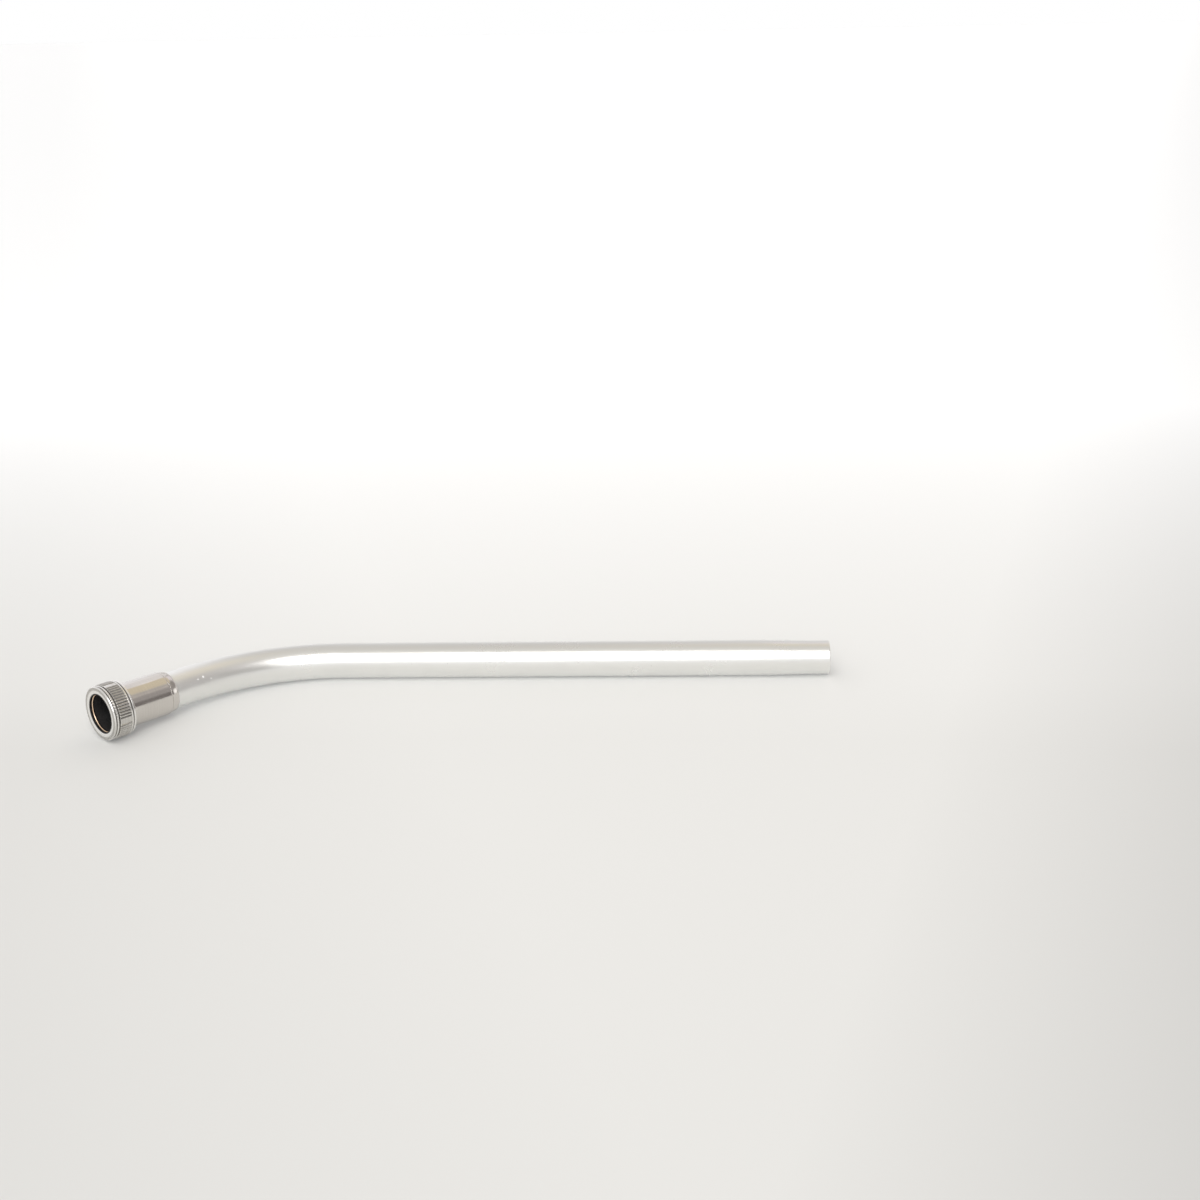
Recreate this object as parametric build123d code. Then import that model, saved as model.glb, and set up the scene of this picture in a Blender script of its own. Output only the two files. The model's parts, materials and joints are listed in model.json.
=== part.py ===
from build123d import *
import math
import os

# Bent tube of the wand, millimetres and degrees
tube_od = 38.1
tube_wall = 1.6
straight_length = 519.0
bend_radius = 211.0
bend_angle = 48.9
straight_behind_sleeve = 16.1

# Swaged slip-fit end of the straight part
swage_step = 0.9
swage_land = 18.0
swage_taper = 46.0
swage_edge = 0.5

# Knurled nut, depths are measured inwards from its front face
nut_length = 24.0
nut_wall = 6.32
nut_lip = 1.6
lip_opening = 1.4
bead_drop = 0.7
groove_drop = 1.7
front_bead_width = 1.8
ring_start = 2.6
ring_width = 2.2
band_start = 5.7
back_groove = 2.2
rim_width = 2.9
front_bead_round = 1.4
bead_round = 0.8
band_chamfer = 0.8
sector_count = 4
sector_gap = 12.5
grooves_per_sector = 13
knurl_depth = 0.8
knurl_width = 1.9

# Screw thread between nut and sleeve, drawn as a plain land in a plain bore
thread_pitch = 1.5
thread_clearance = 0.08
thread_step = 0.4

# Rings that the nut pushes against the gland
ring_clearance = 0.3
washer_gap = 0.05
washer_flange = 1.1
washer_set_back = 0.4
washer_bore_gap = 0.6
follower_thickness = 1.6
follower_bore_gap = 0.25
tighten_turns = 0.5
gland_length = 6.9
gland_cone_length = 1.5
gland_cone_height = 1.3
gland_bore_gap = 0.4

# Socket for the neck of a tool, and the turned sleeve around it
neck_clearance = 0.25
liner_wall = 1.0
liner_length = 36.0
sleeve_wall = 2.5
shoulder_gap = 2.5
sleeve_body_length = 42.7
collar_length = 9.0
collar_step = 0.8
collar_drop = 0.7
sleeve_round = 0.6
relief_depth = 0.9
relief_width = 2.0

# Radii that follow from those above
tube_r = tube_od / 2
bore_r = tube_r - tube_wall
swage_r = tube_r - swage_step
socket_r = tube_r + neck_clearance
liner_r = socket_r + liner_wall
sleeve_r = liner_r + sleeve_wall
collar_r = sleeve_r - collar_step
thread_r = sleeve_r - thread_step
nut_bore_r = thread_r + thread_clearance
nut_r = nut_bore_r + nut_wall
bead_r = nut_r - bead_drop
groove_r = nut_r - groove_drop
lip_r = socket_r + lip_opening
ring_r = nut_bore_r - ring_clearance
seat_r = liner_r + gland_cone_height

# Depths behind the front face of the nut that follow from those above
ring_end = ring_start + ring_width
rim_start = nut_length - rim_width
band_end = rim_start - back_groove
washer_back = nut_lip + washer_gap + washer_flange
follower_back = washer_back + follower_thickness
gland_front = follower_back + thread_pitch * tighten_turns
gland_back = gland_front + gland_length
seat_front = gland_back - gland_cone_length
socket_depth = gland_back + liner_length
sleeve_shoulder = nut_length + shoulder_gap
sleeve_body_end = sleeve_shoulder + sleeve_body_length
sleeve_end = sleeve_body_end + collar_length
bend_to_mouth = sleeve_end + straight_behind_sleeve


def turned(profile):
    """A solid turned about the Z axis from (radius, height) corners."""
    corners = [(radius, 0, height) for radius, height in profile]
    outline = Wire.make_polygon([Vector(*corner) for corner in corners], close=True)
    return revolve(Face(outline), axis=Axis.Z)


def round_edges(solid, places, radius):
    """Fillet the circular edges at the given (radius, height) places."""
    for edge_radius, height in places:
        edges = [
            edge
            for edge in solid.edges().filter_by(GeomType.CIRCLE)
            if abs(edge.radius - edge_radius) < 0.001 and abs(edge.arc_center.Z - height) < 0.001
        ]
        solid = fillet(edges, radius)
    return solid


def rest_tilt():
    """Tilt of the bend plane that lets the tube and the nut both lie on the floor."""
    bend = math.radians(bend_angle)
    back_to_band_end = bend_to_mouth - band_end + band_chamfer
    reach = bend_radius * (1 - math.cos(bend)) + back_to_band_end * math.sin(bend)
    touching_r = nut_r * math.cos(math.radians(sector_gap / 2))
    # reach * x + tube_r = touching_r * sqrt(1 - (sin(bend) * x)^2), x is the sine of the tilt
    a = reach**2 + (touching_r * math.sin(bend)) ** 2
    b = 2 * reach * tube_r
    c = tube_r**2 - touching_r**2
    return math.degrees(math.asin((-b + math.sqrt(b * b - 4 * a * c)) / (2 * a)))


def beside(along, aside):
    """A point of the bend plane, from distances along the straight part and across it."""
    return Vector(along, 0, tube_r) + aside * across


# The straight part lies along X, and the bend leads towards -X and -Y and a little up
tilt = math.radians(rest_tilt())
across = Vector(0, -math.cos(tilt), math.sin(tilt))
turn = math.radians(bend_angle)
bend_start = beside(0, 0)
bend_middle = beside(-bend_radius * math.sin(turn / 2), bend_radius * (1 - math.cos(turn / 2)))
bend_end = beside(-bend_radius * math.sin(turn), bend_radius * (1 - math.cos(turn)))
mouth_way = Vector(-math.cos(turn), 0, 0) + across * math.sin(turn)
mouth = bend_end + mouth_way * bend_to_mouth
level_way = Vector(-mouth_way.Y, mouth_way.X, 0)
mouth_plane = Plane(origin=mouth, x_dir=level_way, z_dir=mouth_way)


def at_mouth(solid):
    """Move a piece turned about Z, nut face at 0, to the mouth of the wand."""
    return mouth_plane.location * solid


def tube():
    """Bent tube, swaged down at the straight end."""
    full_start = straight_length - swage_land - swage_taper
    taper_start = beside(full_start, 0)
    tube_end = bend_end + mouth_way * (bend_to_mouth - socket_depth)
    path = Wire(
        [
            Edge.make_line(taper_start, bend_start),
            Edge.make_three_point_arc(bend_start, bend_middle, bend_end),
            Edge.make_line(bend_end, tube_end),
        ]
    )
    section_plane = Plane(origin=taper_start, z_dir=(-1, 0, 0))
    section = section_plane * (Circle(tube_r) - Circle(bore_r))
    bent = sweep(section, path=path)
    swage_bore_r = swage_r - tube_wall
    taper_end = full_start + swage_taper
    swage = turned(
        [
            (bore_r, full_start),
            (tube_r, full_start),
            (swage_r, taper_end),
            (swage_r, straight_length - swage_edge),
            (swage_r - swage_edge, straight_length),
            (swage_bore_r, straight_length),
            (swage_bore_r, taper_end),
        ]
    )
    return bent + Location(bend_start, (0, 90, 0)) * swage


def sleeve():
    """Turned sleeve: male thread land, relief, body, step and tapered collar."""
    relief_r = thread_r - relief_depth
    shell = turned(
        [
            (seat_r, -seat_front),
            (thread_r - 0.5, -seat_front),
            (thread_r, -seat_front - 0.5),
            (thread_r, -sleeve_shoulder + relief_width),
            (relief_r, -sleeve_shoulder + relief_width - 0.4),
            (relief_r, -sleeve_shoulder),
            (sleeve_r, -sleeve_shoulder),
            (sleeve_r, -sleeve_body_end),
            (collar_r, -sleeve_body_end - 0.5),
            (collar_r - collar_drop, -sleeve_end),
            (tube_r, -sleeve_end),
            (tube_r, -socket_depth),
            (liner_r, -socket_depth),
            (liner_r, -gland_back),
        ]
    )
    rounded = [
        (sleeve_r, -sleeve_shoulder),
        (sleeve_r, -sleeve_body_end),
        (collar_r - collar_drop, -sleeve_end),
    ]
    return round_edges(shell, rounded, sleeve_round)


def liner():
    """Black bush in the socket."""
    return turned(
        [
            (socket_r, -gland_back),
            (liner_r, -gland_back),
            (liner_r, -socket_depth),
            (socket_r, -socket_depth),
        ]
    )


def gland():
    """Rubber ring with a conical back that sits in the mouth of the sleeve."""
    inner_r = socket_r + gland_bore_gap
    return turned(
        [
            (inner_r, -gland_front),
            (seat_r, -gland_front),
            (seat_r, -seat_front),
            (liner_r, -gland_back),
            (inner_r, -gland_back),
        ]
    )


def follower_ring():
    """Thin metal ring that presses on the gland."""
    inner_r = socket_r + follower_bore_gap
    return turned(
        [
            (inner_r, -washer_back),
            (ring_r, -washer_back),
            (ring_r, -follower_back),
            (inner_r, -follower_back),
        ]
    )


def slip_washer():
    """Flanged black ring between the lip of the nut and the follower ring."""
    inner_r = socket_r + washer_bore_gap
    spigot_r = lip_r - thread_clearance
    return turned(
        [
            (inner_r, -washer_set_back),
            (spigot_r, -washer_set_back),
            (spigot_r, -nut_lip - washer_gap),
            (ring_r, -nut_lip - washer_gap),
            (ring_r, -washer_back),
            (inner_r, -washer_back),
        ]
    )


def knurled_pad():
    """One sector of the raised band, with its axial grooves, starting at +X."""
    arc = 360 / sector_count - sector_gap
    profile = [
        (groove_r, band_start),
        (bead_r - 0.1, band_start),
        (nut_r, band_start + band_chamfer),
        (nut_r, band_end - band_chamfer),
        (bead_r - 0.1, band_end),
        (groove_r, band_end),
    ]
    corners = [Vector(radius, 0, -depth) for radius, depth in profile]
    pad = revolve(Face(Wire.make_polygon(corners, close=True)), Axis.Z, arc)
    half = knurl_width / 2
    groove_outline = Wire.make_polygon(
        [
            Vector(nut_r - knurl_depth, 0, -band_end - 1),
            Vector(nut_r + 0.2, -half, -band_end - 1),
            Vector(nut_r + 0.2, half, -band_end - 1),
        ],
        close=True,
    )
    groove = extrude(Face(groove_outline), band_end - band_start + 2, dir=(0, 0, 1))
    step = arc / grooves_per_sector
    for index in range(grooves_per_sector):
        pad -= Rotation(0, 0, step * (index + 0.5)) * groove
    return pad


def nut():
    """Nut with a rounded lip, a ring, four knurled sectors and a back rim."""
    body = turned(
        [
            (lip_r, 0),
            (bead_r, 0),
            (bead_r, -front_bead_width),
            (groove_r, -front_bead_width - 0.2),
            (groove_r, -ring_start + 0.2),
            (bead_r, -ring_start),
            (bead_r, -ring_end),
            (groove_r, -ring_end - 0.2),
            (groove_r, -band_start),
            (bead_r, -band_start),
            (bead_r, -band_end),
            (groove_r, -band_end - 0.5),
            (groove_r, -rim_start + 0.2),
            (bead_r, -rim_start),
            (bead_r, -nut_length),
            (nut_bore_r + 0.6, -nut_length),
            (nut_bore_r, -nut_length + 0.6),
            (nut_bore_r, -nut_lip),
            (lip_r, -nut_lip),
        ]
    )
    body = round_edges(body, [(bead_r, 0)], front_bead_round)
    ring_corners = [(bead_r, -ring_start), (bead_r, -ring_end)]
    rim_corners = [(bead_r, -rim_start), (bead_r, -nut_length)]
    body = round_edges(body, ring_corners + rim_corners, bead_round)
    pad = knurled_pad()
    for index in range(sector_count):
        start = 360 / sector_count * index + sector_gap / 2
        body += Rotation(0, 0, start) * pad
    return body


pieces = {
    "tube": tube(),
    "coupling_sleeve": at_mouth(sleeve()),
    "socket_liner": at_mouth(liner()),
    "gland": at_mouth(gland()),
    "follower_ring": at_mouth(follower_ring()),
    "slip_washer": at_mouth(slip_washer()),
    "coupling_nut": at_mouth(nut()),
}

# The origin is the middle of the footprint, and one STEP file is written for each piece
boxes = [shape.bounding_box(optimal=True) for shape in pieces.values()]
middle_x = (min(box.min.X for box in boxes) + max(box.max.X for box in boxes)) / 2
middle_y = (min(box.min.Y for box in boxes) + max(box.max.Y for box in boxes)) / 2
lowest = min(box.min.Z for box in boxes)
to_origin = Location((-middle_x, -middle_y, -lowest))
os.makedirs("parts", exist_ok=True)
for name, shape in pieces.items():
    export_step(to_origin * shape, "parts/" + name + ".step")
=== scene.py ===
"""Vacuum wand: a bent aluminium tube with a screwed coupling, lying on a pale floor."""

import json
import math

import bmesh
import bpy
from mathutils import Euler, Matrix, Vector


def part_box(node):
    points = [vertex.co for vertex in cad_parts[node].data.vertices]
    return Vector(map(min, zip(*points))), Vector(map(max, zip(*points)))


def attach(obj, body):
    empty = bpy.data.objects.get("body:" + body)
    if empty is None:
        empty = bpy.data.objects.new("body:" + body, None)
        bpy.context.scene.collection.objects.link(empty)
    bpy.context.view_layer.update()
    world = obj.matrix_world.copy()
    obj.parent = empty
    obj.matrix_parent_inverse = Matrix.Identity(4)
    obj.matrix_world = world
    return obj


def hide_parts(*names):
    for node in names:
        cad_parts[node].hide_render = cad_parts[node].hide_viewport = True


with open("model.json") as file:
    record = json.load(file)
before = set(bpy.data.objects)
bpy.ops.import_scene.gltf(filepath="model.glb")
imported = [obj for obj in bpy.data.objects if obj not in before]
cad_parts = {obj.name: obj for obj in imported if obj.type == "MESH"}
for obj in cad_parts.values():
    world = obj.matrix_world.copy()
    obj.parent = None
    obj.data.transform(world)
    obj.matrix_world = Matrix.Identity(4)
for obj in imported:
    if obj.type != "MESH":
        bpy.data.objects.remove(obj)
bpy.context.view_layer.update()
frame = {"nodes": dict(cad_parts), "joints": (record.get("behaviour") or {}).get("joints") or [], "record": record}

# Camera, worked out from the photograph, metres and degrees in the wand's frame
camera_place = Vector((0.18412, -1.39619, 0.71424))
camera_heading = 1.862
camera_pitch = 23.117
camera_roll = -1.200
camera_lens = 45.226
camera_sensor = 36.0

# Shape of the wand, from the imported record
mounts = {mount["name"]: mount for mount in frame["record"]["mounts"]}
socket_point = Vector(mounts["tool_socket"]["pos_m"])
socket_way = Vector(mounts["tool_socket"]["axis"]).normalized()
pin_point = Vector(mounts["slip_fit_end"]["pos_m"])
pin_way = Vector(mounts["slip_fit_end"]["axis"]).normalized()
nut_joint = next(joint for joint in frame["joints"] if joint["name"] == "nut_turn")
nut_face = Vector(nut_joint["pos_m"])
straight_end_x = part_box("tube")[1].x

# Tube, metres
bend_radius = 0.211
tube_r = 0.01905
tube_wall = 0.0016
swage_r = 0.01815
swage_land = 0.018
swage_taper = 0.046
swage_edge = 0.0005
swage_guard = 0.001

# Coupling, radii and depths behind the front face of the nut, metres
socket_r = 0.0193
liner_r = 0.0203
sleeve_r = 0.0228
collar_r = 0.0220
collar_end_r = 0.0213
thread_r = 0.0224
relief_r = 0.0215
seat_r = 0.0216
ring_r = 0.02218
nut_bore_r = 0.02248
lip_r = 0.0207
bead_r = 0.0281
flat_inner_r = 0.0252
flat_outer_r = 0.0268
pad_r = 0.02862
rear_bead_r = 0.0284
washer_back = 0.00275
follower_back = 0.00430
seat_front = 0.0105
gland_back = 0.0120
socket_depth = 0.0480
sleeve_shoulder = 0.0265
sleeve_body_end = 0.0692
sleeve_end = 0.0782
sleeve_guard = 0.0009
nut_length = 0.024
thread_pitch = 0.0015

# Bright nicks on the tube: place along it from the start of the bend, angle round it, size
bright_nicks = [
    (-0.1630, 147.0, 0.0014),
    (-0.1700, 150.0, 0.0010),
    (-0.1545, 158.0, 0.0008),
]

# Nut, from front to back: radii of its grooves, and depths of its corner, beads, knurled band and rim
front_groove_r = bead_r - 0.0011
second_groove_r = bead_r - 0.0013
rear_groove_r = bead_r - 0.0012
corner_back = 0.0017
front_bead = (0.0029, 0.0047)
knurl_front = 0.0066
knurl_back = 0.0184
rear_bead = (0.0194, 0.0203)
rim_front = 0.0219
lip_thickness = 0.0016

# Knurling: sectors of grooves round the nut, with plain strips between
sides_per_groove = 12
strip_grooves = 2
grooves_per_sector = 13
sector_count = 4
groove_depths = (0.0, 0.0, 0.04, 0.18, 0.42, 0.68, 0.8, 0.68, 0.42, 0.18, 0.04, 0.0)
knurl_turn = 9
millimetre = 0.001
knurled_bands = [
    (0.0065, 0.0185, pad_r, 1.0),
    (0.0033, 0.0043, bead_r, 0.4),
]

# Black pieces: node, material, colour, roughness, the grain's scale and height in metres, amount of dust
black_pieces = [
    ("slip_washer", "black_washer", (0.012, 0.012, 0.012), 0.40, 1200.0, 0.000006, 0.10),
    ("gland", "black_rubber", (0.014, 0.013, 0.013), 0.70, 700.0, 0.00002, 0.15),
    ("socket_liner", "black_bush", (0.014, 0.014, 0.014), 0.55, 500.0, 0.00001, 0.10),
]

# Studio: the colour of the walls by elevation, and patches on them, each with the middle, the half width
# and the soft edge of its azimuth and of its elevation, degrees
studio_centre = Vector((0.05, 0.03, 0.02))
coupling_middle = nut_face - socket_way * 0.050
wall_colours = [
    (0.5, (1.01, 1.00, 1.00)),
    (18.0, (0.80, 0.79, 0.785)),
    (36.0, (0.66, 0.64, 0.63)),
    (52.0, (0.68, 0.655, 0.63)),
    (72.0, (0.69, 0.665, 0.625)),
    (89.5, (0.76, 0.74, 0.71)),
]
room_patches = [
    ((1.07, 1.01, 1.06), (156.0, 15.0, 9.0), (43.0, 12.0, 8.0)),
    ((1.12, 1.12, 1.16), (-152.0, 9.0, 6.0), (14.0, 24.0, 8.0)),
    ((0.45, 0.425, 0.415), (63.0, 33.0, 12.0), (42.0, 26.0, 10.0)),
    ((0.85, 0.76, 0.59), (136.0, 32.0, 12.0), (59.5, 10.5, 5.0)),
    ((0.40, 0.375, 0.36), (112.0, 19.0, 6.0), (33.0, 14.0, 5.0)),
    ((0.68, 0.64, 0.61), (93.0, 8.0, 5.0), (43.0, 5.5, 4.0)),
    ((0.34, 0.325, 0.31), (46.0, 22.0, 6.0), (21.0, 14.0, 10.0)),
    ((0.23, 0.21, 0.205), (75.5, 9.5, 3.0), (5.0, 13.5, 4.0)),
    ((1.45, 1.43, 1.41), (96.0, 7.0, 4.0), (8.0, 9.0, 5.0)),
]
floor_size = 30.0
floor_colour = (0.774, 0.776, 0.757, 1.0)
# The floor's glow is painted light: weak next to the wand, where it lifts the shadows, and white far off
floor_glow = (0.46, 0.47, 0.49, 1.0)
fade_middle = (0.05, -0.62, 0.0)
fade_shape = (0.3, 1.0, 0.0)


def bend_frame():
    """The bend's middle, the axes of its own plane, its angle, and the point where it starts."""
    bend_angle = math.acos(-pin_way.dot(socket_way))
    across = (socket_way + pin_way * math.cos(bend_angle)).normalized()
    gap = socket_point - pin_point
    to_corner = gap.dot(across) / socket_way.dot(across)
    corner = socket_point - socket_way * to_corner
    bend_start = corner + pin_way * bend_radius * math.tan(bend_angle / 2)
    middle = bend_start + across * bend_radius
    axes = Matrix((pin_way, -across, across.cross(pin_way))).transposed()
    return middle, axes, bend_angle, bend_start


bend_middle, bend_axes, bend_angle, bend_start = bend_frame()
bend_place = Matrix.Translation(bend_middle) @ bend_axes.to_4x4()
bend_end = bend_place @ (bend_radius * Vector((-math.sin(bend_angle), math.cos(bend_angle), 0.0)))
level_way = Vector((-socket_way.y, socket_way.x, 0.0)).normalized()
mouth_axes = Matrix((level_way, socket_way.cross(level_way), socket_way)).transposed()
mouth_place = Matrix.Translation(nut_face) @ mouth_axes.to_4x4()


def start_ring(name, sides, radius, place=(0.0, 0.0, 0.0), turn=(0.0, 0.0, 0.0)):
    """Add a circle, and leave it open for editing with all of it selected."""
    bpy.ops.object.select_all(action="DESELECT")
    bpy.ops.mesh.primitive_circle_add(vertices=sides, radius=radius, fill_type="NOTHING")
    piece = bpy.context.object
    piece.name = name
    bpy.ops.object.mode_set(mode="EDIT")
    bpy.ops.mesh.select_mode(type="VERT")
    bpy.ops.mesh.select_all(action="SELECT")
    matrix = Matrix.Translation(place) @ Euler(turn).to_matrix().to_4x4()
    for vertex in bmesh.from_edit_mesh(piece.data).verts:
        vertex.co = matrix @ vertex.co
    return piece


def draw_out(step, scale=1.0, middle=(0.0, 0.0, 0.0)):
    """Extrude the selected ring by a step, then scale it about a middle."""
    bpy.ops.mesh.extrude_region_move(TRANSFORM_OT_translate={"value": step})
    if scale != 1.0:
        bpy.ops.transform.resize(value=(scale, scale, scale), center_override=middle)


def finish_edit(piece, place, merge=0.000001):
    """Close the piece's seams, turn its faces outwards, leave editing and put it in its place."""
    bpy.ops.mesh.select_all(action="SELECT")
    bpy.ops.mesh.remove_doubles(threshold=merge)
    bpy.ops.mesh.normals_make_consistent(inside=False)
    bpy.ops.object.mode_set(mode="OBJECT")
    piece.matrix_world = place
    bpy.ops.object.transform_apply(location=True, rotation=True, scale=True)


def bevel_edges(piece, width, angle=30.0, segments=3):
    """Round the edges that are sharper than the angle, and apply it."""
    bevel = piece.modifiers.new("round", "BEVEL")
    bevel.width = width
    bevel.segments = segments
    bevel.limit_method = "ANGLE"
    bevel.angle_limit = math.radians(angle)
    bevel.harden_normals = False
    bpy.ops.object.modifier_apply(modifier=bevel.name)


def smooth(piece, angle=35.0):
    """Smooth shading, with edges above the angle left sharp."""
    bpy.ops.object.select_all(action="DESELECT")
    piece.select_set(True)
    bpy.context.view_layer.objects.active = piece
    bpy.ops.object.shade_smooth_by_angle(angle=math.radians(angle))


def turned_piece(name, outline, sides, round_width=0.0):
    """A closed ring turned about Z, from (radius, depth) corners, with its edges rounded."""
    radius, depth = outline[0]
    piece = start_ring(name, sides, radius, (0.0, 0.0, -depth))
    for next_radius, next_depth in outline[1:] + outline[:1]:
        draw_out((0.0, 0.0, depth - next_depth))
        if next_radius != radius:
            factor = next_radius / radius
            bpy.ops.transform.resize(value=(factor, factor, 1.0), center_override=(0.0, 0.0, -next_depth))
        radius, depth = next_radius, next_depth
    finish_edit(piece, Matrix.Identity(4))
    if round_width:
        bevel_edges(piece, round_width)
    return piece


def put_at_mouth(piece):
    """Carry a piece turned about Z to the mouth of the wand."""
    bpy.ops.object.select_all(action="DESELECT")
    piece.select_set(True)
    bpy.context.view_layer.objects.active = piece
    piece.matrix_world = mouth_place
    bpy.ops.object.transform_apply(location=True, rotation=True, scale=True)
    smooth(piece)


def stand_for(piece, node, body, material):
    """The piece takes a CAD node's place on its body, with its own material, and the node is hidden."""
    piece.data.materials.clear()
    piece.data.materials.append(material)
    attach(piece, body)
    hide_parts(node)


def tube_piece(material):
    """The bent tube: a ring drawn back from the swaged end, spun round the bend, drawn on to the sleeve."""
    length = straight_end_x - bend_start.x
    piece = start_ring("bent_tube", 128, swage_r, (length, bend_radius, 0.0), (0.0, math.pi / 2, 0.0))
    here = length
    inset = 1.0 - swage_edge / swage_r
    bpy.ops.transform.resize(value=(1.0, inset, inset), center_override=(here, bend_radius, 0.0))
    stops = [
        (swage_edge, swage_r / (swage_r - swage_edge)),
        (swage_guard, 1.0),
        (swage_land - swage_edge - swage_guard, 1.0),
        (swage_taper / 2, (swage_r + tube_r) / 2 / swage_r),
        (swage_taper / 2, 2 * tube_r / (swage_r + tube_r)),
    ]
    for step, scale in stops:
        here -= step
        draw_out((-step, 0.0, 0.0), scale, (here, bend_radius, 0.0))
    pieces_of_run = 24
    for index in range(pieces_of_run):
        draw_out((-here / pieces_of_run, 0.0, 0.0))
    bpy.ops.mesh.spin(steps=64, angle=bend_angle, center=(0.0, 0.0, 0.0), axis=(0.0, 0.0, -1.0))
    run_on = (nut_face - bend_end).length - socket_depth
    onward = Vector((-math.cos(bend_angle), -math.sin(bend_angle), 0.0))
    draw_out(tuple(onward * run_on))
    finish_edit(piece, bend_place)
    wall = piece.modifiers.new("wall", "SOLIDIFY")
    wall.thickness = tube_wall
    wall.offset = -1.0
    wall.use_even_offset = True
    bpy.ops.object.modifier_apply(modifier=wall.name)
    bevel_edges(piece, width=0.0002, angle=40.0, segments=2)
    smooth(piece)
    stand_for(piece, "tube", "wand", material)


def thread_ridge():
    """The male thread: one ridge with sloping sides, drawn out as a helix by a screw."""
    foot_r = thread_r - 0.0007
    crest_r = thread_r - 0.00002
    half_foot = 0.00070
    half_crest = 0.00012
    first_turn = 0.0028 - sleeve_shoulder
    bpy.ops.object.select_all(action="DESELECT")
    bpy.ops.mesh.primitive_circle_add(vertices=4, radius=crest_r, fill_type="NOTHING")
    ridge = bpy.context.object
    ridge.name = "thread_ridge"
    corners = [(foot_r, -half_foot), (crest_r, -half_crest), (crest_r, half_crest), (foot_r, half_foot)]
    for vertex, (radius, height) in zip(ridge.data.vertices, corners):
        vertex.co = (radius, 0.0, height + first_turn)
    screw = ridge.modifiers.new("helix", "SCREW")
    screw.axis = "Z"
    screw.screw_offset = thread_pitch
    screw.iterations = 8
    screw.steps = 96
    screw.render_steps = 96
    screw.use_smooth_shade = True
    bpy.ops.object.modifier_apply(modifier=screw.name)
    bpy.ops.object.mode_set(mode="EDIT")
    bpy.ops.mesh.select_mode(type="EDGE")
    bpy.ops.mesh.select_all(action="DESELECT")
    bpy.ops.mesh.select_non_manifold()
    bpy.ops.mesh.edge_face_add()
    finish_edit(ridge, Matrix.Identity(4))
    return ridge


def sleeve_piece(material):
    """The turned sleeve: its thread, a relief, a rounded shoulder, and a stepped and tapered collar."""
    root_r = thread_r - 0.0006
    step_r = collar_r - 0.0004
    bore_r = tube_r + 0.00002
    threaded_end = [
        (seat_r, seat_front),
        (root_r, seat_front),
        (root_r, sleeve_shoulder - 0.002),
        (relief_r, sleeve_shoulder - 0.0018),
        (relief_r, sleeve_shoulder),
    ]
    body = [
        (sleeve_r, sleeve_shoulder),
        (sleeve_r, sleeve_shoulder + sleeve_guard),
        (sleeve_r, sleeve_body_end - sleeve_guard),
        (sleeve_r, sleeve_body_end),
    ]
    step = [(step_r, sleeve_body_end + 0.0001), (step_r, sleeve_body_end + 0.0007)]
    collar = [
        (collar_r, sleeve_body_end + 0.0009),
        (collar_r - 0.0003, sleeve_body_end + 0.0038),
        (collar_end_r, sleeve_body_end + 0.0065),
        (collar_end_r - 0.0004, sleeve_end - 0.0010),
        (collar_end_r - 0.0009, sleeve_end - 0.0003),
        (collar_end_r - 0.0014, sleeve_end),
    ]
    bore = [(bore_r, sleeve_end), (bore_r, socket_depth), (liner_r, socket_depth), (liner_r, gland_back)]
    outline = threaded_end + body + step + collar + bore
    piece = turned_piece("turned_sleeve", outline, sides=256, round_width=0.00025)
    ridge = thread_ridge()
    bpy.ops.object.select_all(action="DESELECT")
    ridge.select_set(True)
    piece.select_set(True)
    bpy.context.view_layer.objects.active = piece
    bpy.ops.object.join()
    put_at_mouth(piece)
    stand_for(piece, "coupling_sleeve", "wand", material)


def select_vertices(piece, wanted):
    """In edit mode, select the vertices whose place passes the test."""
    mesh = bmesh.from_edit_mesh(piece.data)
    for vertex in mesh.verts:
        vertex.select_set(wanted(vertex.co))
    mesh.select_flush_mode()
    bmesh.update_edit_mesh(piece.data)


def groove_depth(index, sides):
    """How deep the knurl is at one side of the nut, in millimetres, and whether that is a plain strip."""
    strip = strip_grooves * sides_per_groove
    inside = (index + knurl_turn + strip // 2) % (sides // sector_count) - strip
    if inside < 0:
        return (pad_r - bead_r) / millimetre, True
    return groove_depths[inside % sides_per_groove], False


def knurl(piece, sides):
    """Press grooves and plain strips into the band of the nut, and light notches into the bead in front."""
    bpy.ops.object.mode_set(mode="EDIT")
    bpy.ops.mesh.select_mode(type="VERT")
    step = 2 * math.pi / sides
    for front, back, radius, share in knurled_bands:
        depths = {}
        for index in range(sides):
            depth, plain = groove_depth(index, sides)
            if plain and share < 1.0:
                depth = 0.0
            depths.setdefault(depth * share, set()).add(index)
        for depth, indices in depths.items():
            if depth == 0.0:
                continue

            def wanted(place):
                on_band = front < -place.z < back
                outside = math.hypot(place.x, place.y) > radius - 0.00005
                return on_band and outside and round(math.atan2(place.y, place.x) / step) % sides in indices

            select_vertices(piece, wanted)
            factor = 1.0 - depth * millimetre / radius
            bpy.ops.transform.resize(value=(factor, factor, 1.0), center_override=(0.0, 0.0, 0.0))
    bpy.ops.mesh.select_all(action="SELECT")
    bpy.ops.object.mode_set(mode="OBJECT")


def held(value):
    """Value held between 0 and 1."""
    return min(max(value, 0.0), 1.0)


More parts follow.
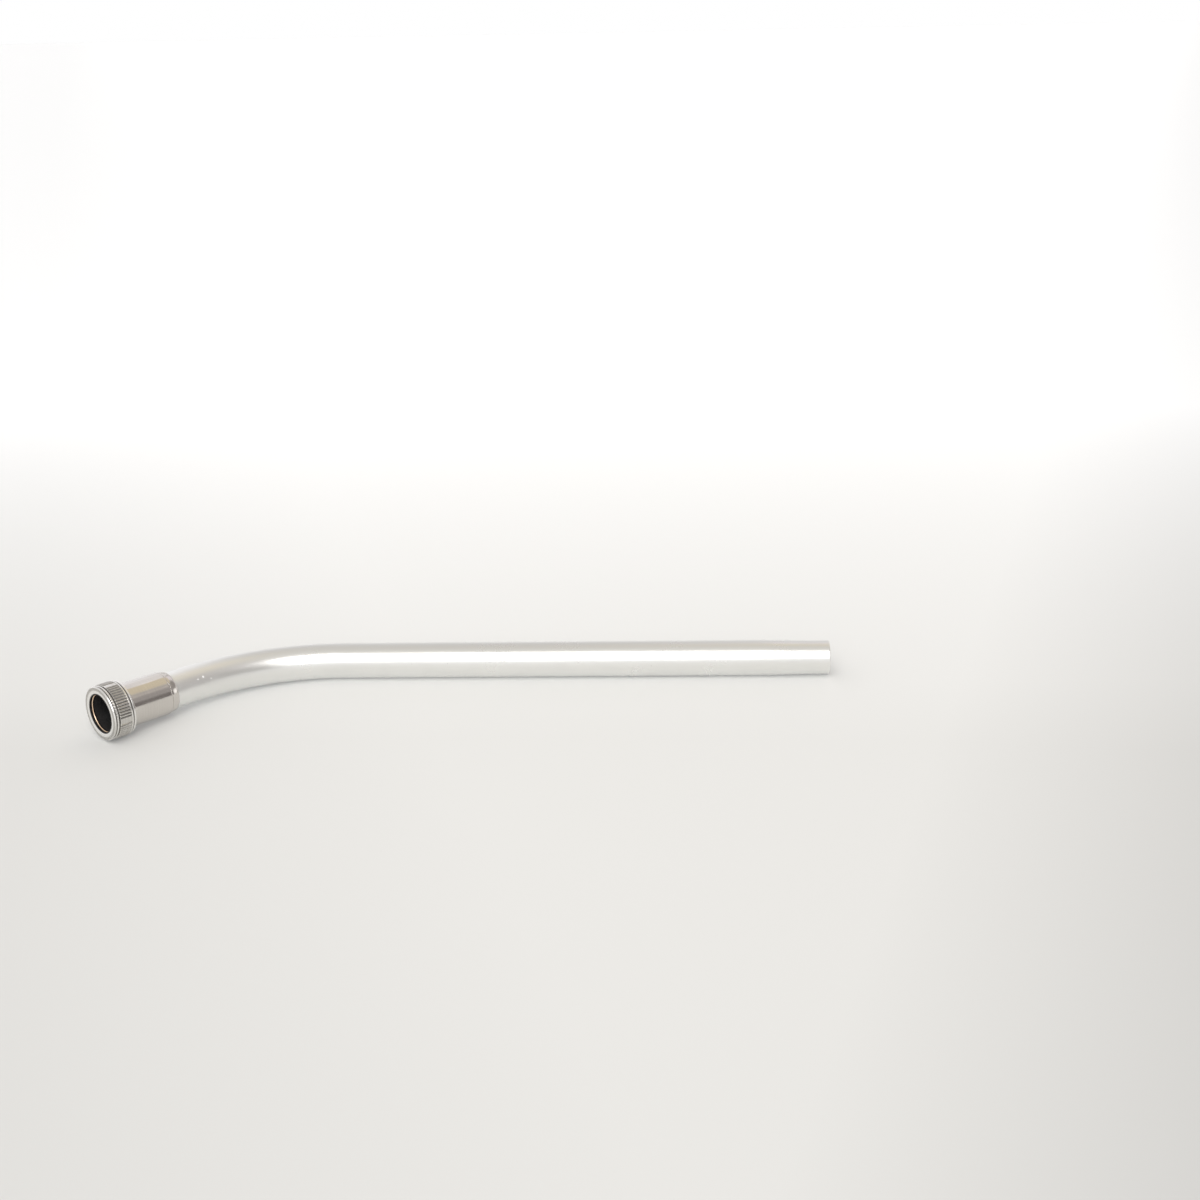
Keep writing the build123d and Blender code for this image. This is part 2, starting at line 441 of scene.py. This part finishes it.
def grime_and_shade_at(radius, depth, upward, pressed, plain):
    """Painted shade and some grime on the nut: dark in its grooves and inside its lip, laid over its crests on top
    and lighter underneath, with grime on the flat of its face.
    """
    hair = 0.0001
    outside = radius > bead_r - 0.001
    below = held(-upward / 0.3)
    # Knurled band: painted shade in the grooves, laid over the crests on top and thinned underneath, with a little
    # grime
    if knurl_front - hair < depth < knurl_back + hair and outside:
        if plain:
            return 0.05
        groove = held((pressed - 0.1) / 0.4)
        top = held((upward - 0.62) / 0.1)
        return groove * (1.0 - 0.75 * below) * (1.0 - 0.65 * top) + 0.34 * top + 0.14 * below
    # Ring grooves: painted shade, lighter underneath
    if second_groove_r - 0.0005 < radius < front_groove_r + 0.0003 and 0.001 < depth < 0.0218:
        return 0.9 - 0.55 * below
    if depth < hair and flat_inner_r - hair < radius < flat_outer_r + hair:
        return 0.26
    # Inside the lip: painted shade
    if radius < lip_r + hair and depth < 0.002:
        return 0.85
    return 0.0


def wear_and_highlight_at(radius, depth, upward):
    """Bright wear on the nut, partly painted highlight: its lip, its front corner, brighter where it faces up, the
    crests of its beads and its rear rim.
    """
    hair = 0.0001
    outside = radius > bead_r - 0.0006
    if depth < corner_back - hair:
        if radius > flat_outer_r + 0.0003:
            # Painted highlight: the front corner is brighter on top and dimmer underneath
            return 1.0 - 0.7 * held((0.15 - upward) / 0.4)
        return 1.0 if lip_r + hair < radius < flat_inner_r - 0.0005 else 0.0
    if front_bead[0] + hair < depth < front_bead[1] - hair and outside:
        return 0.8
    if rear_bead[0] - hair < depth < rear_bead[1] + hair and radius > bead_r:
        return 0.7
    if depth > rim_front - hair and outside:
        return 0.8
    return 0.0


def mark_nut(piece, sides):
    """Give each vertex of the nut its painted shade and grime, and its wear and painted highlight, from 0 to 1."""
    grime_and_shade = piece.data.attributes.new("grime_and_shade", "FLOAT", "POINT")
    wear_and_highlight = piece.data.attributes.new("wear_and_highlight", "FLOAT", "POINT")
    step = 2 * math.pi / sides
    for vertex in piece.data.vertices:
        place = vertex.co
        radius = math.hypot(place.x, place.y)
        pressed, plain = groove_depth(round(math.atan2(place.y, place.x) / step) % sides, sides)
        grime_and_shade.data[vertex.index].value = grime_and_shade_at(radius, -place.z, place.y / radius, pressed, plain)
        wear_and_highlight.data[vertex.index].value = wear_and_highlight_at(radius, -place.z, place.y / radius)


def nut_outline():
    """The nut's outline from its lip round to its bore, as (radius, depth)."""
    rounded_lip = [
        (lip_r, 0.0006),
        (lip_r + 0.0005, 0.0002),
        (lip_r + 0.0014, 0.00004),
        (lip_r + 0.0030, 0.0),
    ]
    flat = [(flat_inner_r, 0.0), (flat_outer_r, 0.0)]
    corner = [
        (bead_r - 0.0007, 0.0002),
        (bead_r - 0.0002, 0.0006),
        (bead_r, 0.0012),
        (bead_r - 0.0002, corner_back),
    ]
    front_groove = [(front_groove_r, 0.0020), (front_groove_r, 0.0026)]
    bead = [
        (bead_r - 0.0003, front_bead[0]),
        (bead_r, 0.0034),
        (bead_r, 0.0042),
        (bead_r - 0.0003, front_bead[1]),
    ]
    second_groove = [(second_groove_r, 0.0051), (second_groove_r, 0.0059)]
    band = [
        (bead_r - 0.0001, 0.0062),
        (pad_r, knurl_front),
        (pad_r, knurl_back),
        (bead_r - 0.0001, 0.0190),
    ]
    thin_bead = [(rear_bead_r, rear_bead[0]), (rear_bead_r, rear_bead[1])]
    rear_groove = [(rear_groove_r, 0.0207), (rear_groove_r, 0.0216)]
    rim = [
        (bead_r - 0.0003, rim_front),
        (bead_r, 0.0223),
        (bead_r, 0.0235),
        (bead_r - 0.0005, nut_length),
    ]
    bore = [
        (nut_bore_r + 0.0006, nut_length),
        (nut_bore_r, nut_length - 0.0006),
        (nut_bore_r, lip_thickness),
        (lip_r, lip_thickness),
    ]
    front = rounded_lip + flat + corner + front_groove + bead + second_groove
    return front + band + thin_bead + rear_groove + rim + bore


def nut_piece(material):
    """The knurled nut: turned with beads and grooves, then knurled in four sectors."""
    sides = sector_count * (grooves_per_sector + strip_grooves) * sides_per_groove
    piece = turned_piece("knurled_nut", nut_outline(), sides)
    mark_nut(piece, sides)
    knurl(piece, sides)
    put_at_mouth(piece)
    stand_for(piece, "coupling_nut", "nut", material)


def follower_piece(material):
    """The copper coloured ring, with a rounded bore that catches the light."""
    bore = socket_r + 0.00025
    outline = [
        (bore + 0.0006, washer_back),
        (ring_r, washer_back),
        (ring_r, follower_back),
        (bore + 0.0004, follower_back),
        (bore, follower_back - 0.0004),
        (bore, washer_back + 0.0007),
    ]
    piece = turned_piece("copper_follower_ring", outline, sides=192, round_width=0.00012)
    put_at_mouth(piece)
    stand_for(piece, "follower_ring", "follower", material)


class Shader:
    """A node tree with short calls that add a node and link its inputs."""

    def __init__(self, tree):
        self.tree = tree

    def add(self, kind, values=None, **settings):
        """Add a node. Settings are its properties, values its inputs, by name or by number."""
        node = self.tree.nodes.new(kind)
        for name, value in settings.items():
            setattr(node, name, value)
        for name, value in (values or {}).items():
            self.fill(node.inputs[name], value)
        return node

    def fill(self, socket, value):
        """Link an output to the socket, or set its number."""
        if isinstance(value, bpy.types.NodeSocket):
            self.tree.links.new(value, socket)
        else:
            socket.default_value = value

    def math(self, operation, first, second=0.0, third=0.0):
        """A Math node's result."""
        return self.add("ShaderNodeMath", {0: first, 1: second, 2: third}, operation=operation).outputs[0]

    def plus(self, first, second):
        """The sum of two values."""
        return self.math("ADD", first, second)

    def minus(self, first, second):
        """The first value less the second."""
        return self.math("SUBTRACT", first, second)

    def times(self, first, second):
        """The product of two values."""
        return self.math("MULTIPLY", first, second)

    def vector(self, operation, first, second=(0.0, 0.0, 0.0)):
        """A Vector Math node's vector."""
        return self.add("ShaderNodeVectorMath", {0: first, 1: second}, operation=operation).outputs[0]

    def measure(self, operation, first, second=(0.0, 0.0, 0.0)):
        """A Vector Math node's number, such as a length, a distance or a dot product."""
        node = self.add("ShaderNodeVectorMath", {0: first, 1: second}, operation=operation)
        return node.outputs["Value"]

    def split(self, vector):
        """The three numbers of a vector."""
        return self.add("ShaderNodeSeparateXYZ", {0: vector}).outputs[:3]

    def ramp(self, value, low, high, to_low=0.0, to_high=1.0):
        """Value carried from low..high to another range, held at its ends."""
        values = {"Value": value, "From Min": low, "From Max": high, "To Min": to_low, "To Max": to_high}
        return self.add("ShaderNodeMapRange", values, clamp=True).outputs[0]

    def mix(self, share, first, second):
        """A colour between two."""
        node = self.add("ShaderNodeMix", data_type="RGBA", clamp_factor=True)
        self.fill(node.inputs["Factor"], share)
        self.fill(node.inputs[6], first)
        self.fill(node.inputs[7], second)
        return node.outputs[2]

    def noise(self, point, scale, detail):
        """Noise in space, from 0 to 1."""
        values = {"Vector": point, "Scale": scale, "Detail": detail}
        return self.add("ShaderNodeTexNoise", values).outputs[0]

    def noise_along(self, place, scale, detail):
        """Noise along a line, from 0 to 1."""
        values = {"W": place, "Scale": scale, "Detail": detail}
        return self.add("ShaderNodeTexNoise", values, noise_dimensions="1D").outputs[0]

    def stretch(self, point, scale, turn=(0.0, 0.0, 0.0)):
        """A point turned, and scaled by axis."""
        values = {"Vector": point, "Rotation": turn, "Scale": scale}
        return self.add("ShaderNodeMapping", values).outputs[0]

    def bump(self, height, distance, under=None):
        """A normal bumped by a height in metres, over another normal if one is given."""
        node = self.add("ShaderNodeBump", {"Strength": 1.0, "Distance": distance, "Height": height})
        if under is not None:
            self.fill(node.inputs["Normal"], under)
        return node.outputs[0]

    def group(self, name, values=None):
        """A node that places a shader group."""
        node = self.tree.nodes.new("ShaderNodeGroup")
        node.node_tree = bpy.data.node_groups[name]
        for key, value in (values or {}).items():
            self.fill(node.inputs[key], value)
        return node.outputs


def new_group(name, inputs, outputs):
    """An empty shader group with named sockets. An input is a kind of socket, or a kind and its value."""
    tree = bpy.data.node_groups.new(name, "ShaderNodeTree")
    for key, kind in inputs.items():
        kind, value = kind if isinstance(kind, tuple) else (kind, None)
        socket = tree.interface.new_socket(key, in_out="INPUT", socket_type="NodeSocket" + kind)
        if value is not None:
            socket.default_value = value
    for key, kind in outputs.items():
        tree.interface.new_socket(key, in_out="OUTPUT", socket_type="NodeSocket" + kind)
    start = tree.nodes.new("NodeGroupInput")
    end = tree.nodes.new("NodeGroupOutput")
    return Shader(tree), start.outputs, end.inputs


def straightened_group():
    """Unbends the wand: where a point is along the tube, and how far from its axis."""
    outputs = {"Along": "Float", "Radius": "Float", "Point": "Vector"}
    shader, _, result = new_group("straightened", {}, outputs)
    place = shader.add("ShaderNodeTexCoord").outputs["Object"]
    from_middle = shader.vector("SUBTRACT", place, tuple(bend_middle))
    east, out, up = (shader.measure("DOT_PRODUCT", from_middle, tuple(axis)) for axis in bend_axes.col)
    angle = shader.math("ARCTAN2", shader.times(east, -1.0), out)
    turned = shader.ramp(angle, 0.0, bend_angle, 0.0, bend_angle)
    sine = shader.math("SINE", turned)
    cosine = shader.math("COSINE", turned)
    run = shader.plus(shader.times(east, cosine), shader.times(out, sine))
    side = shader.minus(shader.times(out, cosine), shader.times(east, sine))
    along = shader.minus(run, shader.times(turned, bend_radius))
    across = shader.minus(side, bend_radius)
    squares = shader.plus(shader.times(across, across), shader.times(up, up))
    point = shader.add("ShaderNodeCombineXYZ", {0: along, 1: across, 2: up}).outputs[0]
    shader.fill(result["Along"], along)
    shader.fill(result["Radius"], shader.math("SQRT", squares))
    shader.fill(result["Point"], point)


def turning_lines_group():
    """Rings left by a lathe tool: fine ones as a height, broad ones as streaks of brightness."""
    inputs = {"Along": "Float", "Radius": "Float", "Pitch": ("Float", 0.0003)}
    shader, given, result = new_group("turning_lines", inputs, {"Height": "Float", "Streaks": "Float"})
    feed = shader.math("DIVIDE", shader.plus(given["Along"], given["Radius"]), given["Pitch"])
    fine = shader.noise_along(feed, 1.0, 2.0)
    broad = shader.noise_along(feed, 0.17, 3.0)
    shader.fill(result["Height"], shader.plus(fine, shader.times(broad, 0.8)))
    shader.fill(result["Streaks"], shader.ramp(broad, 0.3, 0.7))


def handling_marks_group():
    """Smudges from hands, thin scuffs along the wand, and a few tiny dark specks."""
    outputs = {"Smudges": "Float", "Scuffs": "Float", "Specks": "Float"}
    shader, given, result = new_group("handling_marks", {"Point": "Vector"}, outputs)
    point = given["Point"]
    shader.fill(result["Smudges"], shader.ramp(shader.noise(point, 30.0, 5.0), 0.35, 0.68))
    slanted = shader.stretch(point, (60.0, 1500.0, 900.0), (0.3, 0.5, 0.1))
    lines = shader.ramp(shader.noise(slanted, 1.0, 1.0), 0.70, 0.78)
    scuffed_places = shader.ramp(shader.noise(point, 55.0, 2.0), 0.52, 0.62)
    shader.fill(result["Scuffs"], shader.times(lines, scuffed_places))
    dots = shader.add("ShaderNodeTexVoronoi", {"Vector": point, "Scale": 130.0}).outputs["Distance"]
    spots = shader.ramp(dots, 0.03, 0.06, 1.0, 0.0)
    few = shader.ramp(shader.noise(point, 90.0, 0.0), 0.60, 0.64)
    shader.fill(result["Specks"], shader.times(spots, few))


def dust_group():
    """Fine pale dust, thicker on what faces up."""
    shader, given, result = new_group("dust", {"Amount": ("Float", 0.3)}, {"Dust": "Float"})
    place = shader.add("ShaderNodeTexCoord").outputs["Object"]
    upward = shader.split(shader.add("ShaderNodeNewGeometry").outputs["Normal"])[2]
    grains = shader.ramp(shader.noise(place, 2600.0, 2.0), 0.45, 0.75)
    drifts = shader.ramp(shader.noise(place, 160.0, 3.0), 0.35, 0.7)
    settled = shader.times(shader.ramp(upward, -0.2, 1.0, 0.35, 1.0), drifts)
    shader.fill(result["Dust"], shader.times(shader.times(settled, grains), given["Amount"]))


def new_material(name):
    """A material with one Principled shader, its tree wrapped for short calls."""
    material = bpy.data.materials.new(name)
    material.use_nodes = True
    principled = material.node_tree.nodes["Principled BSDF"]
    return material, Shader(material.node_tree), principled.inputs


def tube_nicks(shader, point):
    """A mask of the few small bright nicks on the bend, each placed along the wand and round it."""
    found = 0.0
    for along, angle, size in bright_nicks:
        turn = math.radians(angle)
        place = (along, tube_r * math.cos(turn), tube_r * math.sin(turn))
        away = shader.measure("DISTANCE", point, place)
        found = shader.math("MAXIMUM", found, shader.ramp(away, size / 2, size, 1.0, 0.0))
    return found


def tube_material():
    """Satin anodised drawn tube: draw lines along its length, slow waves, smudges and small marks."""
    clean, handled, drawn = (0.85, 0.85, 0.83, 1.0), (0.81, 0.81, 0.79, 1.0), (0.83, 0.828, 0.81, 1.0)
    scuff, bare, speck = (0.95, 0.95, 0.95, 1.0), (1.0, 1.0, 1.0, 1.0), (0.25, 0.24, 0.22, 1.0)
    clean_rough, handled_rough, bend_rough, nick_rough = 0.27, 0.33, 0.10, 0.3
    line_stretch, line_height = (5.0, 2200.0, 2200.0), 0.000004
    wave_scale, wave_height = 26.0, 0.00012
    material, shader, look = new_material("satin_anodised_tube")
    wand = shader.group("straightened")
    point = wand["Point"]
    marks = shader.group("handling_marks", {"Point": point})
    lines = shader.noise(shader.stretch(point, line_stretch), 1.0, 2.0)
    waves = shader.noise(point, wave_scale, 1.0)
    nick = tube_nicks(shader, point)
    tone = shader.mix(marks["Smudges"], clean, handled)
    tone = shader.mix(shader.ramp(lines, 0.35, 0.65), tone, drawn)
    tone = shader.mix(shader.times(marks["Scuffs"], 0.35), tone, scuff)
    tone = shader.mix(nick, tone, bare)
    shader.fill(look["Base Color"], shader.mix(shader.times(marks["Specks"], 0.6), tone, speck))
    shader.fill(look["Metallic"], shader.ramp(nick, 0.0, 1.0, 1.0, 0.0))
    rough = shader.ramp(marks["Smudges"], 0.0, 1.0, clean_rough, handled_rough)
    rough = shader.plus(rough, shader.ramp(wand["Along"], -0.15, -0.09, bend_rough, 0.0))
    shader.fill(look["Roughness"], shader.plus(rough, shader.times(nick, nick_rough)))
    waved = shader.bump(waves, wave_height)
    shader.fill(look["Normal"], shader.bump(shader.plus(lines, nick), line_height, waved))
    return material


def turned_marks(shader, pitch):
    """The wand's straightened place, its handling marks, and tool rings of that pitch."""
    wand = shader.group("straightened")
    marks = shader.group("handling_marks", {"Point": wand["Point"]})
    place = {"Along": wand["Along"], "Radius": wand["Radius"], "Pitch": pitch}
    return wand["Point"], marks, shader.group("turning_lines", place)


def sleeve_material():
    """Turned and lightly polished aluminium, with rings left by the tool."""
    dull_ring, bright_ring = (0.63, 0.60, 0.565, 1.0), (0.68, 0.65, 0.615, 1.0)
    smudge, scuff = (0.45, 0.43, 0.40, 1.0), (0.85, 0.84, 0.82, 1.0)
    dull_rough, bright_rough, smudge_rough = 0.15, 0.10, 0.06
    ring_pitch, ring_height = 0.0002, 0.0000018
    material, shader, look = new_material("turned_aluminium")
    _, marks, rings = turned_marks(shader, ring_pitch)
    tone = shader.mix(rings["Streaks"], dull_ring, bright_ring)
    tone = shader.mix(shader.times(marks["Smudges"], 0.16), tone, smudge)
    shader.fill(look["Base Color"], shader.mix(shader.times(marks["Scuffs"], 0.5), tone, scuff))
    look["Metallic"].default_value = 1.0
    rough = shader.ramp(rings["Streaks"], 0.0, 1.0, dull_rough, bright_rough)
    shader.fill(look["Roughness"], shader.plus(rough, shader.times(marks["Smudges"], smudge_rough)))
    shader.fill(look["Normal"], shader.bump(rings["Height"], ring_height))
    return material


def nut_material():
    """Machined and knurled aluminium: tool rings, painted shade and some grime in the grooves, and bright worn
    crests with some painted highlight.
    """
    dull_ring, bright_ring = (0.62, 0.605, 0.57, 1.0), (0.70, 0.685, 0.655, 1.0)
    mottle, rubbed_highlight, dark_shade_and_dirt = (0.42, 0.40, 0.37, 1.0), (0.95, 0.94, 0.92, 1.0), (0.07, 0.065, 0.06, 1.0)
    clean_rough, handled_rough, dirt_rough = 0.18, 0.25, 0.3
    ring_pitch, relief_height = 0.00035, 0.000006
    material, shader, look = new_material("knurled_aluminium")
    point, marks, rings = turned_marks(shader, ring_pitch)
    # Painted shade with some grime, from the nut's vertices: it darkens the grooves, the inside of the lip and the
    # top of the knurl
    shade_and_dirt = shader.add("ShaderNodeAttribute", attribute_name="grime_and_shade").outputs["Fac"]
    worn_and_lit = shader.add("ShaderNodeAttribute", attribute_name="wear_and_highlight").outputs["Fac"]
    grit = shader.noise(point, 900.0, 3.0)
    grime_and_shade = shader.times(shade_and_dirt, shader.ramp(grit, 0.25, 0.6, 0.75, 1.0))
    # Bright wear with painted highlight on the lip, the front corner, the bead crests and the rim
    bright_wear_and_highlight = shader.times(worn_and_lit, shader.ramp(grit, 0.3, 0.6, 1.0, 0.7))
    tone = shader.mix(rings["Streaks"], dull_ring, bright_ring)
    tone = shader.mix(shader.ramp(grit, 0.4, 0.7, 0.0, 0.25), tone, mottle)
    tone = shader.mix(bright_wear_and_highlight, tone, rubbed_highlight)
    shader.fill(look["Base Color"], shader.mix(grime_and_shade, tone, dark_shade_and_dirt))
    shader.fill(look["Metallic"], shader.ramp(grime_and_shade, 0.3, 1.0, 1.0, 0.35))
    rough = shader.ramp(marks["Smudges"], 0.0, 1.0, clean_rough, handled_rough)
    shader.fill(look["Roughness"], shader.plus(rough, shader.times(shade_and_dirt, dirt_rough)))
    relief = shader.plus(rings["Height"], shader.times(grit, 1.5))
    shader.fill(look["Normal"], shader.bump(relief, relief_height))
    return material


def copper_material():
    """Bare copper coloured metal with a thin tarnish."""
    fresh, tarnished, streak = (1.0, 0.78, 0.58, 1.0), (0.93, 0.64, 0.43, 1.0), (1.0, 0.84, 0.64, 1.0)
    fresh_rough, tarnished_rough = 0.24, 0.34
    ring_pitch, ring_height = 0.0002, 0.000003
    material, shader, look = new_material("copper_ring")
    point, _, rings = turned_marks(shader, ring_pitch)
    tarnish = shader.noise(point, 180.0, 3.0)
    tone = shader.mix(shader.ramp(tarnish, 0.4, 0.7), fresh, tarnished)
    shader.fill(look["Base Color"], shader.mix(shader.times(rings["Streaks"], 0.3), tone, streak))
    look["Metallic"].default_value = 1.0
    shader.fill(look["Roughness"], shader.ramp(tarnish, 0.3, 0.7, fresh_rough, tarnished_rough))
    shader.fill(look["Normal"], shader.bump(rings["Height"], ring_height))
    return material


def black_material(name, colour, rough, grain_scale, grain_height, dust):
    """Black moulded plastic or rubber with a fine grain, faint scuffs and a little dust."""
    scuff, dusty = (0.09, 0.09, 0.088, 1.0), (0.30, 0.29, 0.27, 1.0)
    deep = colour + (1.0,)
    paler = tuple(value * 1.8 for value in colour) + (1.0,)
    material, shader, look = new_material(name)
    point = shader.group("straightened")["Point"]
    marks = shader.group("handling_marks", {"Point": point})
    powder = shader.group("dust", {"Amount": dust})["Dust"]
    grain = shader.noise(point, grain_scale, 3.0)
    tone = shader.mix(shader.ramp(grain, 0.4, 0.7), deep, paler)
    tone = shader.mix(shader.times(marks["Scuffs"], 0.4), tone, scuff)
    shader.fill(look["Base Color"], shader.mix(powder, tone, dusty))
    look["Metallic"].default_value = 0.0
    look["Specular IOR Level"].default_value = 0.35
    shader.fill(look["Roughness"], shader.ramp(marks["Smudges"], 0.0, 1.0, rough - 0.05, rough + 0.08))
    shader.fill(look["Normal"], shader.bump(grain, grain_height))
    return material


def dress(node, material):
    """Give a CAD node its material."""
    mesh = frame["nodes"][node].data
    mesh.materials.clear()
    mesh.materials.append(material)


def make_camera():
    """Camera at the photograph's place and angle."""
    heading = math.radians(camera_heading)
    pitch = math.radians(camera_pitch)
    roll = math.radians(camera_roll)
    level = Vector((math.cos(heading), math.sin(heading), 0.0))
    ahead = Vector((-math.sin(heading), math.cos(heading), 0.0))
    forward = ahead * math.cos(pitch) - Vector((0.0, 0.0, 1.0)) * math.sin(pitch)
    upright = level.cross(forward)
    right = level * math.cos(roll) + upright * math.sin(roll)
    up = upright * math.cos(roll) - level * math.sin(roll)
    data = bpy.data.cameras.new("camera")
    data.lens = camera_lens
    data.sensor_width = camera_sensor
    camera = bpy.data.objects.new("camera", data)
    bpy.context.scene.collection.objects.link(camera)
    turn = Matrix((right, up, -forward)).transposed().to_4x4()
    camera.matrix_world = Matrix.Translation(camera_place) @ turn
    bpy.context.scene.camera = camera


def make_floor():
    """Pale floor, darker in painted shade to the left, the far right and the front, with a glow of painted light
    that lifts its shadows near the wand and fades to white far off.
    """
    black = (0.0, 0.0, 0.0, 1.0)
    bpy.ops.object.select_all(action="DESELECT")
    bpy.ops.mesh.primitive_grid_add(x_subdivisions=8, y_subdivisions=8, size=floor_size)
    floor = bpy.context.object
    floor.name = "floor"
    material, shader, look = new_material("pale_floor")
    place = shader.add("ShaderNodeTexCoord").outputs["Object"]
    x, y, _ = shader.split(place)
    # Painted shade: the floor is darker to the left, the far right and the front, where less light falls on it
    aside = shader.times(y, 0.35)
    right = shader.ramp(shader.minus(x, aside), 0.50, 0.80, 1.0, 0.80)
    left = shader.ramp(shader.plus(x, aside), -0.47, -0.05, 0.91, 1.0)
    front = shader.ramp(y, -0.75, 0.05, 0.80, 1.0)
    shade = shader.times(shader.times(right, left), front)
    # Painted light: the floor glows, weakly next to the wand to lift its shadows, rising to plain white far off
    from_middle = shader.vector("MULTIPLY", shader.vector("SUBTRACT", place, fade_middle), fade_shape)
    fade = shader.ramp(shader.measure("LENGTH", from_middle), 0.55, 1.75, 0.35, 1.0)
    shader.fill(look["Base Color"], shader.mix(shade, black, floor_colour))
    shader.fill(look["Emission Color"], shader.mix(shader.math("POWER", fade, 1.5), black, floor_glow))
    look["Roughness"].default_value = 0.6
    look["Specular IOR Level"].default_value = 0.2
    look["Emission Strength"].default_value = 1.0
    floor.data.materials.append(material)


def make_softbox(name, middle, azimuth, elevation, distance, width, height, brightness, colour):
    """A softbox that the camera doesn't see, in a direction seen from the middle, of that brightness."""
    heading = math.radians(azimuth)
    rise = math.radians(elevation)
    way = Vector((math.sin(heading) * math.cos(rise), -math.cos(heading) * math.cos(rise), math.sin(rise)))
    data = bpy.data.lights.new(name, "AREA")
    data.shape = "RECTANGLE"
    data.size = width
    data.size_y = height
    data.energy = brightness * math.pi * width * height
    data.color = colour
    light = bpy.data.objects.new(name, data)
    bpy.context.scene.collection.objects.link(light)
    light.location = middle + way * distance
    light.rotation_mode = "QUATERNION"
    light.rotation_quaternion = (-way).to_track_quat("-Z", "Y")
    light.visible_camera = False
    return light


def near(shader, value, middle, half, edge):
    """1 where value is within half of middle, fading to 0 over the edge."""
    gap = shader.math("WRAP", shader.minus(value, middle), 180.0, -180.0)
    away = shader.math("ABSOLUTE", gap)
    return shader.ramp(away, half - edge / 2, half + edge / 2, 1.0, 0.0)


def make_world():
    """The room round the wand, by direction. What looks straight at it sees plain white."""
    white = (1.0, 1.0, 1.0, 1.0)
    to_degrees = 180.0 / math.pi
    zenith = 90.0
    world = bpy.data.worlds.new("studio")
    world.use_nodes = True
    bpy.context.scene.world = world
    shader = Shader(world.node_tree)
    background = world.node_tree.nodes["Background"]
    x, y, z = shader.split(shader.add("ShaderNodeTexCoord").outputs["Generated"])
    azimuth = shader.times(shader.math("ARCTAN2", x, shader.times(y, -1.0)), to_degrees)
    elevation = shader.times(shader.math("ARCSINE", z), to_degrees)
    walls = shader.add("ShaderNodeValToRGB", {0: shader.ramp(elevation, 0.0, zenith)})
    stops = walls.color_ramp.elements
    for place, colour in wall_colours:
        stops.new(place / zenith).color = colour + (1.0,)
    stops.remove(stops[0])
    stops.remove(stops[-1])
    room = walls.outputs[0]
    for colour, across, up in room_patches:
        mask = shader.times(near(shader, azimuth, *across), near(shader, elevation, *up))
        room = shader.mix(mask, room, colour + (1.0,))
    seen = shader.add("ShaderNodeLightPath").outputs["Is Camera Ray"]
    shader.fill(background.inputs["Color"], shader.mix(seen, room, white))
    background.inputs["Strength"].default_value = 1.0


def make_studio():
    """Plain soft light: the room, a large softbox in front, and a small card that only gloss shows."""
    make_world()
    make_softbox("front_softbox", studio_centre, azimuth=-3.5, elevation=43.5, distance=2.6,
                 width=1.66, height=2.30, brightness=2.95, colour=(1.0, 0.995, 0.985))
    card = make_softbox("coupling_card", coupling_middle, azimuth=-163.5, elevation=45.0, distance=0.258,
                        width=0.17, height=0.17, brightness=0.36, colour=(0.95, 0.94, 1.0))
    card.visible_diffuse = False
    make_floor()


straightened_group()
turning_lines_group()
handling_marks_group()
dust_group()
tube_piece(tube_material())
sleeve_piece(sleeve_material())
nut_piece(nut_material())
follower_piece(copper_material())
for node, *finish in black_pieces:
    dress(node, black_material(*finish))
make_camera()
make_studio()
bpy.context.scene.view_settings.view_transform = "Standard"
